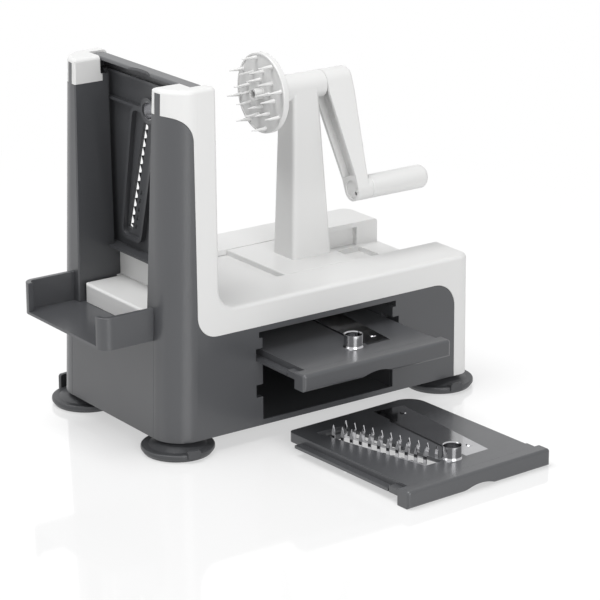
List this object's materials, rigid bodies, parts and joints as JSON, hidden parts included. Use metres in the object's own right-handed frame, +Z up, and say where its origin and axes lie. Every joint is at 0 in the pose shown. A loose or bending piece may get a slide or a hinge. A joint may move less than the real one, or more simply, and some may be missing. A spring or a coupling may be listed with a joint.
{
  "type": "hand cranked spiralizer",
  "caption": "Countertop vegetable spiralizer: blade tower with exchangeable plates, sliding carriage with a spiked disc and crank, catch tray, plate bay and suction feet.",
  "frame": {"origin": "on the worktop, midway between the four suction cups", "axes": "+X along the crank axis, from the blade tower to the crank; the plate bay opens on -Y; +Z up"},
  "size_m": [0.3255, 0.3399, 0.269],
  "materials": {
    "grey_moulding": "fine matt moulded ABS",
    "white_moulding": "satin moulded ABS",
    "dark_rubber": "smooth soft rubber",
    "polished_steel": "polished stainless steel",
    "brushed_steel": "plain steel",
    "bush_plastic": "natural acetal"
  },
  "bodies": {
    "root": {"front_housing": "grey_moulding", "rear_housing": "grey_moulding", "end_panel": "grey_moulding", "catch_tray": "grey_moulding", "base_plate": "grey_moulding", "upper_cover": "white_moulding", "left_drawer_guide": "grey_moulding", "right_drawer_guide": "grey_moulding", "foot_studs": "brushed_steel", "base_screws": "brushed_steel", "suction_cup_front_left": "dark_rubber", "suction_cup_rear_left": "dark_rubber", "suction_cup_front_right": "dark_rubber", "suction_cup_rear_right": "dark_rubber"},
    "carriage": {"carriage_sled": "white_moulding", "crank_post": "white_moulding", "post_screws": "brushed_steel", "front_bush": "bush_plastic", "rear_bush": "bush_plastic"},
    "crank": {"crank_shaft": "brushed_steel", "spiked_disc": "white_moulding", "disc_screw": "brushed_steel", "crank_arm": "white_moulding", "grip_axle": "brushed_steel", "axle_cover": "white_moulding"},
    "handle": {"grip": "white_moulding"},
    "fitted_plate": {"tower_plate": "grey_moulding", "tower_ring": "polished_steel", "tower_blade": "polished_steel", "tower_teeth": "polished_steel", "tower_rivets": "polished_steel"},
    "stored_plate": {"drawer_plate": "grey_moulding", "drawer_ring": "polished_steel", "drawer_blade": "polished_steel", "drawer_rivets": "polished_steel"},
    "spare_plate": {"loose_plate": "grey_moulding", "loose_ring": "polished_steel", "loose_blade": "polished_steel", "loose_lancets": "polished_steel", "loose_rivets": "polished_steel"}
  },
  "joints": [
    {"name": "carriage_slide", "type": "slide", "parent": "root", "child": "carriage", "axis": [1, 0, 0], "range_m": [-0.066, 0.058]},
    {"name": "crank_turn", "type": "hinge", "parent": "carriage", "child": "crank", "pos_m": [0.03, 0, 0.236], "axis": [1, 0, 0], "continuous": true},
    {"name": "grip_turn", "type": "hinge", "parent": "crank", "child": "handle", "pos_m": [0.1, -0.0307, 0.15846], "axis": [1, 0, 0], "continuous": true},
    {"name": "tower_plate_lift", "type": "slide", "parent": "root", "child": "fitted_plate", "axis": [0, 0, 1], "range_m": [0, 0.145]},
    {"name": "bay_plate_slide", "type": "slide", "parent": "root", "child": "stored_plate", "axis": [0, -1, 0], "range_m": [-0.0487, 0.07]},
    {"name": "spare_plate_slide", "type": "slide", "parent": "root", "child": "spare_plate", "axis": [0, -1, 0], "range_m": [0, 0.1]}
  ]
}
